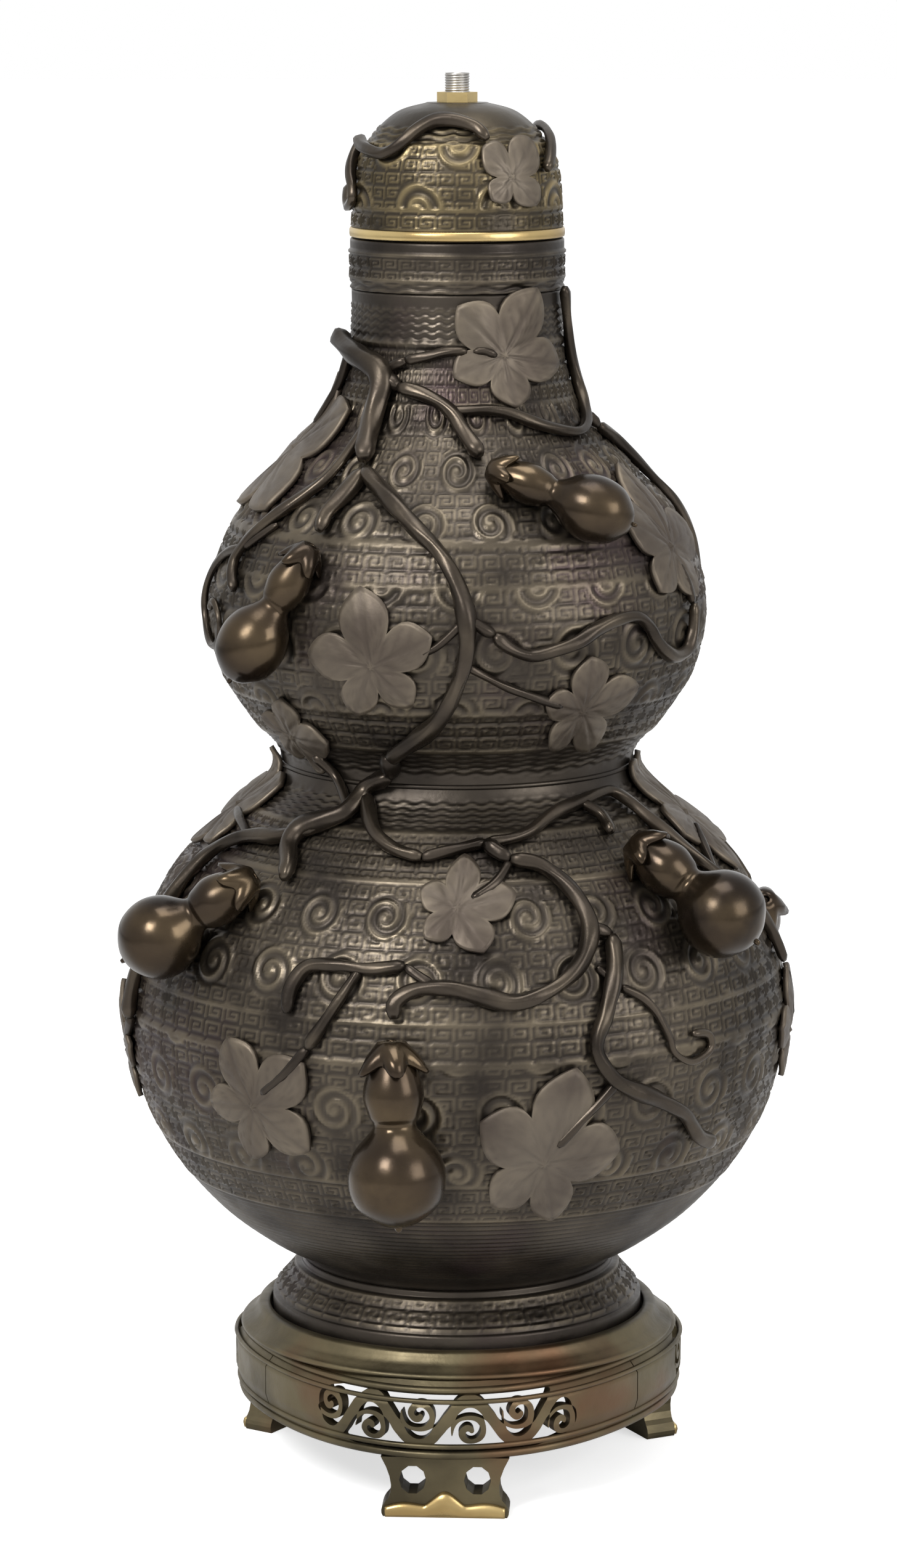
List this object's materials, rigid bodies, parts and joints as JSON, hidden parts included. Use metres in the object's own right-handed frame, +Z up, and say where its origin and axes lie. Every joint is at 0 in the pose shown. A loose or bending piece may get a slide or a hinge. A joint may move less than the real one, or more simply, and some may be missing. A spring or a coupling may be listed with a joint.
{
  "type": "vase",
  "caption": "Double-gourd bronze vase with applied vines, leaves and gourds, fitted with a lamp pipe and cap, on a pierced three-footed stand.",
  "frame": {"origin": "on the surface under the stand, below the axis of the vase", "axes": "+Z up along the axis of the vase, -Y towards the front that the picture shows, +X to the right"},
  "size_m": [0.2755, 0.3252, 0.5681],
  "materials": {
    "bronze": "dark patinated bronze",
    "bronze_leaf": "dull brown-grey bronze",
    "bronze_gourd": "polished dark bronze",
    "stand_brass": "aged olive brass",
    "brass": "worn brass",
    "steel": "dull plated steel"
  },
  "bodies": {
    "stand": {"stand_seat_ring": "stand_brass", "stand_panel_front": "stand_brass", "stand_foot_front": "stand_brass", "stand_panel_right": "stand_brass", "stand_foot_right": "stand_brass", "stand_panel_left": "stand_brass", "stand_foot_left": "stand_brass"},
    "vase": {"vase_foot": "bronze", "lower_bulb": "bronze", "upper_bulb": "bronze", "neck_collar": "bronze", "lamp_pipe": "steel", "pipe_washer": "steel", "pipe_lower_nut": "steel", "vine_upper_trunk": "bronze", "vine_neck": "bronze", "vine_neck_stem": "bronze", "vine_upper_right": "bronze", "vine_shoulder_right": "bronze", "vine_lower_trunk": "bronze", "vine_lower_left": "bronze", "vine_loop": "bronze", "vine_lower_right": "bronze", "vine_hanging": "bronze", "vine_back_upper": "bronze", "vine_back_lower": "bronze", "gourd_shoulder": "bronze_gourd", "gourd_upper_centre": "bronze_gourd", "gourd_lower_left": "bronze_gourd", "gourd_lower_right": "bronze_gourd", "gourd_lower_centre": "bronze_gourd", "gourd_back_upper": "bronze_gourd", "gourd_back_lower": "bronze_gourd", "gourd_back_side": "bronze_gourd", "leaf_neck": "bronze_leaf", "leaf_shoulder_left": "bronze_leaf", "leaf_upper_centre": "bronze_leaf", "leaf_upper_right": "bronze_leaf", "leaf_waist": "bronze_leaf", "leaf_lower_top_right": "bronze_leaf", "leaf_lower_top_left": "bronze_leaf", "leaf_centre_top": "bronze_leaf", "leaf_lower_left": "bronze_leaf", "leaf_far_left": "bronze_leaf", "leaf_lower_front": "bronze_leaf", "leaf_far_right": "bronze_leaf", "leaf_back_shoulder": "bronze_leaf", "leaf_back_upper": "bronze_leaf", "leaf_back_centre": "bronze_leaf", "leaf_back_lower": "bronze_leaf", "blossom_waist": "bronze_leaf", "tendril_upper": "bronze", "tendril_lower": "bronze"},
    "cap": {"cap": "bronze", "cap_vine_front": "bronze", "cap_vine_left": "bronze", "cap_vine_right": "bronze", "cap_blossom": "bronze_leaf"},
    "nut": {"top_hex_nut": "brass"}
  },
  "joints": [
    {"name": "vase_lift", "type": "slide", "parent": "stand", "child": "vase", "axis": [0, 0, 1], "range_m": [0, 0.08]},
    {"name": "cap_lift", "type": "slide", "parent": "vase", "child": "cap", "axis": [0, 0, 1], "range_m": [0, 0.085]},
    {"name": "nut_turn", "type": "hinge", "parent": "cap", "child": "nut", "pos_m": [0, 0, 0.5586], "axis": [0, 0, 1], "continuous": true}
  ]
}
